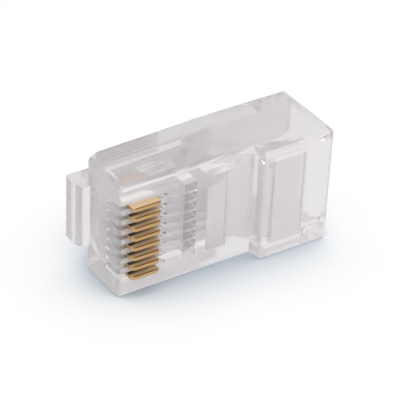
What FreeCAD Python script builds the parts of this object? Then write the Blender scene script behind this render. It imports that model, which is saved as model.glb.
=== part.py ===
"""Eight-way modular plug for round cable: clear moulded housing, sprung latch, eight blade
contacts and two strain-relief bars.

Plug frame used while modelling: X = 0 at the nose and +X towards the cable, Y = 0 on the latch
side and -Y out of the contact face, Z = 0 on the narrow side that the plug stands on.
Every piece is moved by ORIGIN_SHIFT before export, so that the origin is the middle of that side.
"""
import FreeCAD, Part
import math
import os

Vector = FreeCAD.Vector

# ---- body: overall sizes -------------------------------------------------------------------
body_length = 21.46
body_width = 11.68
nose_height = 6.6            # latch side to contact face, front section
rear_height = 8.0            # latch side to contact face, cable section
step_start = 13.80           # where the slope up to the cable section starts
step_run = 0.28              # length of that slope
corner_radius = 0.42         # outline corners
edge_radius = 0.40           # edges of the two narrow sides
latch_side_taper = 0.6       # how far the latch side draws in at the nose
nose_bevel_run = 1.2         # bevel from latch side to nose face, along X
nose_bevel_drop = 1.2        # its lower edge, from the latch side

# ---- contact row ---------------------------------------------------------------------------
way_count = 8
pitch = 1.016
blade_thickness = 0.32
blade_clearance = 0.05       # each side of a blade in its slot
blade_front = 0.92
blade_length = 2.80
blade_proud = 0.88           # above the contact face before crimping
crimped_height = 6.02        # blade edge above the latch side after crimping
blade_head_depth = 1.52      # blade edge down to its shoulders
blade_height = 3.30          # blade edge to the tips of its teeth
tooth_count = 3
tooth_depth = 0.55
blade_front_radius = 0.4
blade_rear_radius = 0.22
slot_end = 4.80              # where the slot runs out on the contact face

# ---- conductor channels --------------------------------------------------------------------
channel_width = 0.88
channel_end = 1.25           # blind ends, behind the nose
nose_floor = 2.66            # inner floor below the latch side, at the nose
channel_height = 1.10
channel_step = 0.06          # channel floors above the cavity's floor
comb_end = 9.00              # rear edge of the ribs between channels
window_front = 6.60          # openings behind the contacts, from the contact face to each channel
window_rear = 7.90
window_width = 0.76

# ---- cable cavity: stations from the comb to the mouth -------------------------------------
narrow_wall = 1.15           # narrow sides of the housing, cable section
conductor_wall = 1.80        # the same beside the conductors
waist_floor = 1.78           # inner floor below the latch side, at the waist
mouth_floor = 1.54           # the same at the mouth
contact_wall = 1.00          # wall on the contact side, cable section
front_contact_wall = 1.10    # the same, front section
conductor_end = 9.05         # where the narrow part starts to widen, at its floor
widening_lean = 1.00         # its edge leans back by this much per millimetre of height
widened_from = 9.35          # where the cavity has its full width, at its floor
widened_lean = 1.15          # lean of that edge
waist = 12.00                # where the floor's slope turns flatter
mouth_flare = 0.32
mouth_flare_run = 0.45
cavity_corner = 1.40         # rounding of the cavity's contact-side corners
conductor_corner = 0.56      # the same beside the conductors

# ---- latch ---------------------------------------------------------------------------------
latch_width = 6.20
grip_width = 4.00
latch_angle = 17.1           # arm against the body, free
heel_front = 1.10            # heel ahead of the nose face
heel_top = 0.87              # heel above the latch side
heel_lower = 1.75            # where the heel meets the nose face, from the latch side
heel_inside = 0.50           # how far its foot runs on inside the nose
heel_round = 1.00
knuckle_x = 1.55
knuckle_y = 0.20
knuckle_radius = 0.60
knuckle_clearance = 0.03
shoulder_reach = 6.90        # knuckle to locking shoulders, along the arm
latch_reach = 14.90          # knuckle to tip, along the arm
arm_tip_thickness = 1.05
grip_round = 1.10            # corners of the grip, seen from above
tip_round = 0.35             # edges of the tip, seen from the side

# ---- strain-relief bars --------------------------------------------------------------------
bar_clearance = 0.05
bar_knuckle_radius = 0.36
bar_recess = 0.10            # outer face of a bar below the contact face
bar_tooth = 0.85             # tooth below the wall's inner face
tooth_rake = 0.30            # how far the tooth's front leans back
tooth_land = 0.35            # flat at the tooth's tip
conductor_bar_rear = 11.35
conductor_bar_width = 8.00
jacket_bar_front = 15.15
jacket_bar_rear = 18.65
jacket_bar_width = 8.80

# ---- overlaps between shapes that are joined or cut ----------------------------------------
OVERCUT = 1.0                # past an outer face that a cut opens
JOIN = 0.1                   # into a neighbouring cut

# ---- derived -------------------------------------------------------------------------------
mid = body_width / 2
ORIGIN_SHIFT = Vector(-body_length / 2, rear_height / 2, 0)
slot_width = blade_thickness + 2 * blade_clearance
shank_front = channel_end + blade_clearance
shank_inset = shank_front - blade_front      # the shank stops this far short of the head's ends
shank_rear = blade_front + blade_length - shank_inset
blade_edge = nose_height + blade_proud
crimp_travel = blade_edge - crimped_height
shoulder_seat = blade_edge - blade_head_depth - crimp_travel
way_positions = [mid + (index - (way_count - 1) / 2) * pitch for index in range(way_count)]


def prism(points, low, high):
    """A polygon in the XY plane, carried from Z = low to Z = high."""
    wire = Part.makePolygon([Vector(x, y, low) for x, y in points + points[:1]])
    return Part.Face(wire).extrude(Vector(0, 0, high - low))


def block(x_range, y_range, z_range):
    """A box between two corners."""
    low, high = zip(*(sorted(pair) for pair in (x_range, y_range, z_range)))
    size = [top - bottom for bottom, top in zip(low, high)]
    return Part.makeBox(*size, Vector(*low))


def rod(x, y, radius, low, high):
    """A round bar along Z."""
    return Part.makeCylinder(radius, high - low, Vector(x, y, low))


def upright_edges(shape, places, tolerance=0.02):
    """The straight edges along Z whose (x, y) is one of the places."""
    found = []
    for edge in shape.Edges:
        box = edge.BoundBox
        if box.XLength > tolerance or box.YLength > tolerance:
            continue
        if any(math.hypot(box.Center.x - x, box.Center.y - y) < tolerance for x, y in places):
            found.append(edge)
    return found


def floor_at(x):
    """Depth of the inner floor below the latch side: it rises to the waist, then to the mouth."""
    if x < waist:
        return nose_floor + (waist_floor - nose_floor) * x / waist
    return waist_floor + (mouth_floor - waist_floor) * (x - waist) / (body_length - waist)


def outer_body():
    """The housing's outside: a stepped prism, tapered and bevelled towards the nose."""
    outline = [
        (0, -nose_bevel_drop),
        (0, -nose_height),
        (step_start, -nose_height),
        (step_start + step_run, -rear_height),
        (body_length, -rear_height),
        (body_length, 0),
        (step_start, 0),
        (nose_bevel_run, -latch_side_taper),
    ]
    body = prism(outline, 0, body_width)
    rounded = [outline[0], outline[1], outline[3], outline[4], outline[5]]
    body = body.makeFillet(corner_radius, upright_edges(body, rounded))
    ends = [edge for edge in body.Edges if edge.BoundBox.ZLength < 1e-6]
    return body.makeFillet(edge_radius, ends)


def heel():
    """Root of the latch, moulded on the nose, with a round seat for the arm's knuckle."""
    low, high = mid - latch_width / 2, mid + latch_width / 2
    front_top = (-heel_front, heel_top)
    front_low = (-heel_front, -heel_lower)
    root = prism([front_low, (heel_inside, -heel_lower), (knuckle_x, -latch_side_taper),
                  (knuckle_x, heel_top), front_top], low, high)
    root = root.makeFillet(heel_round, upright_edges(root, [front_low]))
    root = root.makeFillet(corner_radius, upright_edges(root, [front_top]))
    seat = rod(knuckle_x, knuckle_y, knuckle_radius + knuckle_clearance, low, high)
    return root.cut(seat)


def cavity_section(x, floor, roof, half_width, corner, lean=0.0):
    """The cavity's outline at one station: a rectangle with its two contact-side corners round."""
    left, right = mid - half_width, mid + half_width
    turn = corner * (1 - math.sqrt(0.5))

    def at(y, z):
        return Vector(x + lean * (y - floor), -y, z)

    return Part.Wire([
        Part.LineSegment(at(floor, left), at(floor, right)).toShape(),
        Part.LineSegment(at(floor, right), at(roof - corner, right)).toShape(),
        Part.Arc(at(roof - corner, right), at(roof - turn, right - turn),
                 at(roof, right - corner)).toShape(),
        Part.LineSegment(at(roof, right - corner), at(roof, left + corner)).toShape(),
        Part.Arc(at(roof, left + corner), at(roof - turn, left + turn),
                 at(roof - corner, left)).toShape(),
        Part.LineSegment(at(roof - corner, left), at(floor, left)).toShape(),
    ])


def cable_cavity():
    """From the comb to the mouth: narrow beside the conductors, wide and deep round the jacket."""
    front_roof = nose_height - front_contact_wall
    rear_roof = rear_height - contact_wall
    narrow = mid - conductor_wall
    wide = mid - narrow_wall
    rear_start = step_start + step_run + contact_wall
    flare_start = body_length - mouth_flare_run
    stations = [
        (comb_end, floor_at(comb_end), front_roof, narrow, conductor_corner),
        (conductor_end, floor_at(conductor_end), front_roof, narrow, conductor_corner,
         widening_lean),
        (widened_from, floor_at(widened_from), front_roof, wide, conductor_corner,
         widened_lean),
        (step_start, floor_at(step_start), front_roof, wide, conductor_corner),
        (rear_start, floor_at(rear_start), rear_roof, wide, cavity_corner),
        (flare_start, floor_at(flare_start), rear_roof, wide, cavity_corner),
        (body_length, mouth_floor - mouth_flare, rear_roof + mouth_flare, wide + mouth_flare,
         cavity_corner + mouth_flare),
    ]
    pieces = []
    for front, back in zip(stations, stations[1:]):
        pieces.append(Part.makeLoft([cavity_section(*front), cavity_section(*back)], True, True))
    return pieces[0].multiFuse(pieces[1:]).removeSplitter()


def channel(z):
    """One conductor channel, with a round floor and a flat roof, and the window into it."""
    half = channel_width / 2
    end, rear = channel_end, comb_end + JOIN
    floor = floor_at(end) + channel_step
    roof = floor + channel_height
    spring = floor + half
    arc = Part.Arc(Vector(end, -spring, z - half), Vector(end, -floor, z),
                   Vector(end, -spring, z + half))
    sides = Part.makePolygon([Vector(end, -spring, z + half), Vector(end, -roof, z + half),
                              Vector(end, -roof, z - half), Vector(end, -spring, z - half)])
    run = Vector(rear - end, floor_at(end) - floor_at(rear), 0)
    tube = Part.Face(Part.Wire([arc.toShape()] + sides.Edges)).extrude(run)
    window = block((window_front, window_rear),
                   (-nose_height - OVERCUT, JOIN - floor_at(window_rear) - channel_height),
                   (z - window_width / 2, z + window_width / 2))
    return tube.fuse(window)


def contact_slot(z):
    """Slot for one blade: open at the nose and the contact face, run out in a curve behind it."""
    low, high = z - slot_width / 2, z + slot_width / 2
    head_rear = blade_front + blade_length + blade_clearance
    shank = (shank_front - blade_clearance, shank_rear + blade_clearance)
    upper = block((-OVERCUT, head_rear), (-shoulder_seat, -nose_height - OVERCUT), (low, high))
    lower = block(shank, (JOIN - floor_at(shank_rear) - channel_height, -nose_height), (low, high))
    run_out = slot_end - head_rear
    scoop = rod(head_rear, -nose_height, run_out, low, high)
    return upper.multiFuse([lower, scoop])


def bar_axis(rear, outer):
    """Where a bar's knuckle turns, just inside the rear end of its pocket."""
    return rear - bar_knuckle_radius, -outer + bar_recess + bar_knuckle_radius


def bar_pocket(front, rear, width, outer, wall):
    """Opening for a strain-relief bar, through the contact-side wall and the cavity's corners."""
    low, high = mid - width / 2, mid + width / 2
    axis_x, axis_y = bar_axis(rear, outer)
    inside = -outer + wall + cavity_corner
    opening = block((front, axis_x), (-outer - OVERCUT, inside), (low, high))
    relief = block((axis_x, rear + knuckle_clearance), (axis_y, inside), (low, high))
    seat = rod(axis_x, axis_y, bar_knuckle_radius + knuckle_clearance, low, high)
    return opening.multiFuse([relief, seat])


def strain_relief_bar(front, rear, width, outer, wall):
    """A bar that turns in about its rear knuckle and bites with a tooth across its front end."""
    low, high = mid - width / 2 + bar_clearance, mid + width / 2 - bar_clearance
    axis_x, axis_y = bar_axis(rear, outer)
    face = -outer + bar_recess
    inner = axis_y + bar_knuckle_radius
    tip = -outer + wall + bar_tooth
    start = front + bar_clearance
    plate = prism([(start, face), (axis_x, face), (axis_x, inner), (start + tooth_rake + tooth_land, tip),
                   (start + tooth_rake, tip)], low, high)
    return plate.fuse(rod(axis_x, axis_y, bar_knuckle_radius, low, high)).removeSplitter()


def housing():
    """The moulding, less everything that the contacts, the conductors and the cable need."""
    body = outer_body().fuse(heel())
    cuts = [cable_cavity()]
    cuts += [channel(z) for z in way_positions]
    cuts += [contact_slot(z) for z in way_positions]
    cuts.append(bar_pocket(comb_end, conductor_bar_rear, conductor_bar_width,
                           nose_height, front_contact_wall))
    cuts.append(bar_pocket(jacket_bar_front, jacket_bar_rear, jacket_bar_width,
                           rear_height, contact_wall))
    return body.cut(cuts).removeSplitter()


def blade(z):
    """One stamped contact: rounded front corner, shoulders, and teeth that pierce insulation."""
    front, rear = blade_front, blade_front + blade_length
    shoulder = -blade_edge + blade_head_depth
    valley = -blade_edge + blade_height - tooth_depth
    tips = -blade_edge + blade_height
    outline = [(front, -blade_edge), (rear, -blade_edge), (rear, shoulder),
               (shank_rear, shoulder), (shank_rear, valley)]
    spacing = (shank_rear - shank_front) / tooth_count
    for index in range(tooth_count):
        right = shank_rear - index * spacing
        outline.append((right - spacing / 2, tips))
        outline.append((right - spacing, valley))
    outline.append((shank_front, shoulder))
    outline.append((front, shoulder))
    plate = prism(outline, z - blade_thickness / 2, z + blade_thickness / 2)
    plate = plate.makeFillet(blade_front_radius, upright_edges(plate, [(front, -blade_edge)]))
    return plate.makeFillet(blade_rear_radius, upright_edges(plate, [(rear, -blade_edge)]))


def latch():
    """The arm: a knuckle, a wide part up to the locking shoulders, and a narrow round-nosed grip."""
    radius = knuckle_radius
    wide, narrow = latch_width / 2, grip_width / 2
    tip_top, tip_bottom = (latch_reach, radius), (latch_reach, radius - arm_tip_thickness)
    profile = prism([(0, radius), tip_top, tip_bottom, (0, -radius)], -wide, wide)
    profile = profile.makeFillet(tip_round, upright_edges(profile, [tip_top, tip_bottom]))
    plan = block((0, shoulder_reach), (-radius, radius), (-wide, wide)).fuse(
        block((0, latch_reach), (-radius, radius), (-narrow, narrow))).removeSplitter()
    corners = [edge for edge in plan.Edges
               if edge.BoundBox.ZLength < 1e-6 and edge.BoundBox.XLength < 1e-6
               and abs(edge.BoundBox.Center.x - latch_reach) < 1e-6]
    plan = plan.makeFillet(grip_round, corners)
    arm = profile.common(plan).fuse(rod(0, 0, radius, -wide, wide)).removeSplitter()
    arm.rotate(Vector(0, 0, 0), Vector(0, 0, 1), latch_angle)
    arm.translate(Vector(knuckle_x, knuckle_y, mid))
    return arm


def export(name, shape):
    """Move one piece to the shared origin and write it."""
    shape.translate(ORIGIN_SHIFT)
    shape.exportStep(f"parts/{name}.step")
    print(f"{name}: {len(shape.Solids)} solid, {shape.Volume:.3f} mm3, valid {shape.isValid()}")


os.makedirs("parts", exist_ok=True)
export("housing", housing())
export("latch_tab", latch())
for number, height in enumerate(reversed(way_positions), start=1):
    export(f"contact_{number}", blade(height))
export("conductor_clamp", strain_relief_bar(comb_end, conductor_bar_rear, conductor_bar_width,
                                            nose_height, front_contact_wall))
export("jacket_clamp", strain_relief_bar(jacket_bar_front, jacket_bar_rear, jacket_bar_width,
                                         rear_height, contact_wall))
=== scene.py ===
"""Looks for a clear eight-way modular plug, standing on its narrow side on a white table."""
import math

import bpy
from mathutils import Matrix, Vector


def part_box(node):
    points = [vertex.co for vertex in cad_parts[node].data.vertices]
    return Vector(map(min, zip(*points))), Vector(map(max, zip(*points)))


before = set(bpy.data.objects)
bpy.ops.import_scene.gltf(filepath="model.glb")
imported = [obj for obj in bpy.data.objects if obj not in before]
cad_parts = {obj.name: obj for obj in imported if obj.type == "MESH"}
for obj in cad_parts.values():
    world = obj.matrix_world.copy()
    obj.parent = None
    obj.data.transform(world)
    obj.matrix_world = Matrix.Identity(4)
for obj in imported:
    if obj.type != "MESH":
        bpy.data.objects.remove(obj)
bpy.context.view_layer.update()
scene = bpy.context.scene

# ------------------------------------------------------------------------------------------
# Effect in every clear piece: moulded polycarbonate isn't optically perfect. Flow lines run
# away from the gate, the skin has a faint orange peel, and the melt carries a little haze.
# ------------------------------------------------------------------------------------------
flow_contrast = (0.35, 0.65)
flow_depth = 0.00002
peel_scale = 1400.0
skin_roughness = (0.04, 0.12)


def feed(tree, node, inputs):
    """Give each input of a node a plain value, or a link where the value is another's output."""
    for name, value in inputs.items():
        if isinstance(value, bpy.types.NodeSocket):
            tree.links.new(value, node.inputs[name])
        else:
            node.inputs[name].default_value = value


def add(tree, kind, inputs=None, **settings):
    """Add a node to a tree, with its settings and then its inputs."""
    node = tree.nodes.new(kind)
    for name, value in settings.items():
        setattr(node, name, value)
    feed(tree, node, inputs or {})
    return node


def carried(tree, value, before=(0.0, 1.0), after=(0.0, 1.0)):
    """Carry a value over from one range to another, held at both ends."""
    inputs = {"Value": value, "From Min": before[0], "From Max": before[1],
              "To Min": after[0], "To Max": after[1]}
    return add(tree, "ShaderNodeMapRange", inputs).outputs["Result"]


def drawn_out(tree, place, share):
    """Multiply X by a share below 1, so that a pattern on the result is drawn out lengthways."""
    inputs = {0: place, 1: (share, 1.0, 1.0)}
    return add(tree, "ShaderNodeVectorMath", inputs, operation="MULTIPLY").outputs[0]


melt = bpy.data.node_groups.new("moulded_melt", "ShaderNodeTree")
for name in ("Flow Scale", "Haze Low", "Haze High", "Ripple"):
    melt.interface.new_socket(name, in_out="INPUT", socket_type="NodeSocketFloat")
for name in ("Haze", "Roughness"):
    melt.interface.new_socket(name, in_out="OUTPUT", socket_type="NodeSocketFloat")
melt.interface.new_socket("Normal", in_out="OUTPUT", socket_type="NodeSocketVector")
given = add(melt, "NodeGroupInput").outputs
place = add(melt, "ShaderNodeTexCoord").outputs["Object"]
flow = add(melt, "ShaderNodeTexNoise", {
    "Vector": drawn_out(melt, place, 0.35), "Scale": given["Flow Scale"],
    "Detail": 3.0, "Distortion": 0.6}).outputs["Fac"]
peel = add(melt, "ShaderNodeTexNoise", {
    "Vector": place, "Scale": peel_scale, "Detail": 2.0}).outputs["Fac"]
ripple = add(melt, "ShaderNodeBump", {
    "Strength": given["Ripple"], "Distance": flow_depth, "Height": flow}).outputs["Normal"]
add(melt, "NodeGroupOutput", {
    "Haze": carried(melt, flow, flow_contrast, (given["Haze Low"], given["Haze High"])),
    "Roughness": carried(melt, peel, after=skin_roughness),
    "Normal": ripple})

# ------------------------------------------------------------------------------------------
# Housing, latch and strain-relief bars: one clear polycarbonate moulding, with slots, channels
# and cable cavity cored in the mould. Its outer faces carry the haze, which thickens to milk
# behind several walls, and shadow and fill light pass straight through with a tint.
# ------------------------------------------------------------------------------------------
polycarbonate_index = 1.58
polycarbonate_tint = (0.90, 0.875, 0.88, 1.0)
milk_outside = (0.86, 0.81, 0.812, 1.0)
milk_inside = (0.93, 0.88, 0.882, 1.0)
milk_let_through = 0.42
faces_to_milk = (3.0, 6.5)
wall_shade = (0.80, 0.81, 0.83, 1.0)
pure_white = (1.0, 1.0, 1.0, 1.0)


def maths(tree, operation, first, second=0.0):
    """Work one sum, product or comparison on two values."""
    return add(tree, "ShaderNodeMath", {0: first, 1: second}, operation=operation).outputs[0]


def blended(tree, share, first, second):
    """Blend two colours by a share. Sockets 6 and 7 of a Mix take its colours, 2 puts one out."""
    return add(tree, "ShaderNodeMix", {0: share, 6: first, 7: second}, data_type="RGBA").outputs[2]


def laid_over(tree, share, under, over):
    """Lay one shader over another by a share."""
    return add(tree, "ShaderNodeMixShader", {0: share, 1: under, 2: over}).outputs[0]


def finished_in(name, material):
    """Give a piece of the plug its one material."""
    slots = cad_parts[name].data.materials
    slots.clear()
    slots.append(material)


clear = bpy.data.materials.new("clear_housing")
clear.use_nodes = True
plastic = clear.node_tree
plastic.nodes.clear()
effect = add(plastic, "ShaderNodeGroup", {
    "Flow Scale": 160.0, "Haze Low": 0.38, "Haze High": 0.50, "Ripple": 0.12},
    node_tree=melt).outputs
body = add(plastic, "ShaderNodeBsdfPrincipled", {
    "Base Color": polycarbonate_tint, "Transmission Weight": 1.0, "IOR": polycarbonate_index,
    "Roughness": effect["Roughness"], "Normal": effect["Normal"]}).outputs[0]
bounced = add(plastic, "ShaderNodeBsdfDiffuse", {"Color": milk_outside}).outputs[0]
let_in = add(plastic, "ShaderNodeBsdfTranslucent", {"Color": milk_inside}).outputs[0]
milk = laid_over(plastic, milk_let_through, bounced, let_in)
path = add(plastic, "ShaderNodeLightPath").outputs
back_face = add(plastic, "ShaderNodeNewGeometry").outputs["Backfacing"]
outer_face = maths(plastic, "SUBTRACT", 1.0, back_face)
haze = maths(plastic, "MULTIPLY", outer_face, effect["Haze"])
far_in = carried(plastic, path["Ray Depth"], faces_to_milk)
surface = laid_over(plastic, maths(plastic, "MAXIMUM", haze, far_in), body, milk)
tint = blended(plastic, back_face, wall_shade, pure_white)
unbent = add(plastic, "ShaderNodeBsdfTransparent", {"Color": tint}).outputs[0]
passing = maths(plastic, "MAXIMUM", path["Is Shadow Ray"], path["Is Diffuse Ray"])
add(plastic, "ShaderNodeOutputMaterial", {
    "Surface": laid_over(plastic, passing, surface, unbent)})
for name in ("housing", "latch_tab", "conductor_clamp", "jacket_clamp"):
    finished_in(name, clear)

# ------------------------------------------------------------------------------------------
# Contacts: eight blades stamped from phosphor bronze strip, gold plated and pressed in. Inside
# the bright outer edge, which the jack's springs touch, a brown line of painted shade runs along
# the flanks where the edge rounds over. The roots of all but the highest blade carry painted shade
# from the blade above, strongest at the nose.
# ------------------------------------------------------------------------------------------
blade_low, blade_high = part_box("contact_1")
outer_edge = blade_low[1]
coloured_depth = 0.001
nose_to_rear_shade = (1.0, 0.35)
# Shares of the coloured depth at which the brown line of painted edge shade ends, the bright starts
# and the painted shade on the roots starts and is full.
brown_line_end = 0.09
bright_from = 0.17
root_shade = (0.46, 0.60)
grain_scale = 2500.0
strip_roughness = (0.28, 0.50)
edge_to_flank_metal = (0.9, 0.55)
plated_gold = (0.58, 0.37, 0.165, 1.0)
painted_edge_shade = (0.15, 0.045, 0.008, 1.0)
bright_flank = (0.90, 0.64, 0.35, 1.0)
dull_flank = (0.80, 0.60, 0.42, 1.0)
painted_root_shade = (0.035, 0.022, 0.016, 1.0)

gold = bpy.data.materials.new("gold_blade")
gold.use_nodes = True
blade = gold.node_tree
place = add(blade, "ShaderNodeTexCoord").outputs
along = add(blade, "ShaderNodeSeparateXYZ", {0: place["Object"]}).outputs
grain = add(blade, "ShaderNodeTexNoise", {
    "Vector": drawn_out(blade, place["Object"], 0.15),
    "Scale": grain_scale, "Detail": 3.0}).outputs["Fac"]
depth = carried(blade, along["Y"], (outer_edge, outer_edge + coloured_depth))
flank = add(blade, "ShaderNodeValToRGB", {"Fac": depth})
bands = flank.color_ramp.elements
# The brown line at the outer side of each flank is painted shade where the edge rounds over.
bands[0].color = painted_edge_shade
bands[1].color = dull_flank
bands.new(brown_line_end).color = painted_edge_shade
bands.new(bright_from).color = bright_flank
# Painted shade on the flank roots of every blade that has another blade above it, strongest at the
# nose and fading towards the rear.
root = carried(blade, depth, root_shade)
nose_end = carried(blade, along["X"], (blade_low[0], blade_high[0]), nose_to_rear_shade)
below_first = maths(blade, "LESS_THAN", along["Z"], blade_low[2])
dark = maths(blade, "MULTIPLY", maths(blade, "MULTIPLY", root, nose_end), below_first)
flank_with_painted_shade = blended(blade, dark, flank.outputs["Color"], painted_root_shade)
facing = add(blade, "ShaderNodeSeparateXYZ", {0: place["Normal"]}).outputs
on_flank = maths(blade, "ABSOLUTE", facing["Z"])
feed(blade, blade.nodes["Principled BSDF"], {
    "Base Color": blended(blade, on_flank, plated_gold, flank_with_painted_shade),
    "Metallic": carried(blade, on_flank, after=edge_to_flank_metal),
    "Roughness": carried(blade, grain, after=strip_roughness)})
for number in range(1, 9):
    finished_in(f"contact_{number}", gold)

# ------------------------------------------------------------------------------------------
# Table: a smooth white sheet under the plug, which takes the lamps' shadow. Only for the camera
# does it turn blue-grey close to the plug, where the sky is covered, and plain white away from
# it. Rays that leave the plastic or the blades see it nearly plain white.
# ------------------------------------------------------------------------------------------
table_side = 3.0
gap_under_plug = 0.00003
shade_reach = 0.0095
covered_to_open = (0.45, 0.98)
white_from_plug = 0.95
paper_shaded = (0.60, 0.65, 0.71, 1.0)
paper_open = (0.91, 0.92, 0.93, 1.0)

bpy.ops.mesh.primitive_plane_add(size=table_side, location=(0, 0, -gap_under_plug))
floor = bpy.context.object
floor.name = "table"
white_table = bpy.data.materials.new("white_table")
white_table.use_nodes = True
paper = white_table.node_tree
near = add(paper, "ShaderNodeAmbientOcclusion", {"Distance": shade_reach}, samples=16)
open_sky = carried(paper, near.outputs["AO"], covered_to_open)
path = add(paper, "ShaderNodeLightPath").outputs
not_camera = maths(paper, "SUBTRACT", 1.0, path["Is Camera Ray"])
paleness = maths(paper, "MAXIMUM", open_sky, not_camera)
sheet = paper.nodes["Principled BSDF"]
feed(paper, sheet, {
    "Base Color": blended(paper, paleness, paper_shaded, paper_open),
    "Roughness": 0.9, "Specular IOR Level": 0.1})
glow = add(paper, "ShaderNodeEmission", {"Color": pure_white, "Strength": 1.0})
from_plug = maths(paper, "MAXIMUM", path["Is Transmission Ray"], path["Is Glossy Ray"])
whiteness = maths(paper, "MAXIMUM", maths(paper, "MULTIPLY", from_plug, white_from_plug),
                  maths(paper, "MULTIPLY", path["Is Camera Ray"], open_sky))
feed(paper, paper.nodes["Material Output"], {
    "Surface": laid_over(paper, whiteness, sheet.outputs[0], glow.outputs[0])})
floor.data.materials.append(white_table)

# ------------------------------------------------------------------------------------------
# Light: a white tent all round, dimmer and slightly bluer where it only fills, and two round
# soft boxes about a metre wide. One hangs straight above, and the stronger one stands low in
# front of the contact side, towards the nose.
# ------------------------------------------------------------------------------------------
lamps_aim = Vector((0, 0, 0.005))

world = bpy.data.worlds.new("tent")
scene.world = world
world.use_nodes = True
around = world.node_tree
fill = around.nodes["Background"]
feed(around, fill, {"Color": (0.97, 0.985, 1.0, 1.0), "Strength": 0.80})
tent = add(around, "ShaderNodeBackground", {"Color": pure_white, "Strength": 1.0})
path = add(around, "ShaderNodeLightPath").outputs
feed(around, around.nodes["World Output"], {
    "Surface": laid_over(around, path["Is Diffuse Ray"], tent.outputs[0], fill.outputs[0])})
for name, spot, size, power, colour in (
        ("overhead", (0.0, 0.0, 1.0), 1.1, 1.7, (1.0, 0.99, 0.98)),
        ("key", (-0.35, -0.95, 0.45), 0.9, 3.4, (1.0, 0.985, 0.97))):
    light = bpy.data.lights.new(name, "AREA")
    light.shape = "DISK"
    light.size = size
    light.energy = power
    light.color = colour
    lamp = bpy.data.objects.new(name, light)
    scene.collection.objects.link(lamp)
    lamp.location = spot
    lamp.rotation_euler = (lamps_aim - Vector(spot)).to_track_quat("-Z", "Y").to_euler()

# ------------------------------------------------------------------------------------------
# Camera: a long lens from the nose end, above and in front of the contact face, turned a little
# about its own axis.
# ------------------------------------------------------------------------------------------
azimuth = math.radians(-34.558)
elevation = math.radians(33.733)
roll = math.radians(2.916)
distance = 0.176541
camera_aim = Vector((-0.00003, 0.0, 0.00584))

back = Vector((math.sin(azimuth) * math.cos(elevation), -math.cos(azimuth) * math.cos(elevation),
               math.sin(elevation)))
level = Vector((math.cos(azimuth), math.sin(azimuth), 0.0))
upright = back.cross(level)
right = level * math.cos(roll) + upright * math.sin(roll)
up = upright * math.cos(roll) - level * math.sin(roll)
eye = camera_aim + back * distance
camera = bpy.data.cameras.new("camera")
camera.lens = 178.2
camera.sensor_width = 36.0
camera.clip_start = 0.001
camera.shift_x = -0.0168
camera.shift_y = -0.0119
view = bpy.data.objects.new("camera", camera)
scene.collection.objects.link(view)
view.matrix_world = Matrix(((right.x, up.x, back.x, eye.x), (right.y, up.y, back.y, eye.y),
                            (right.z, up.z, back.z, eye.z), (0, 0, 0, 1)))
scene.camera = view
scene.view_settings.view_transform = "Standard"
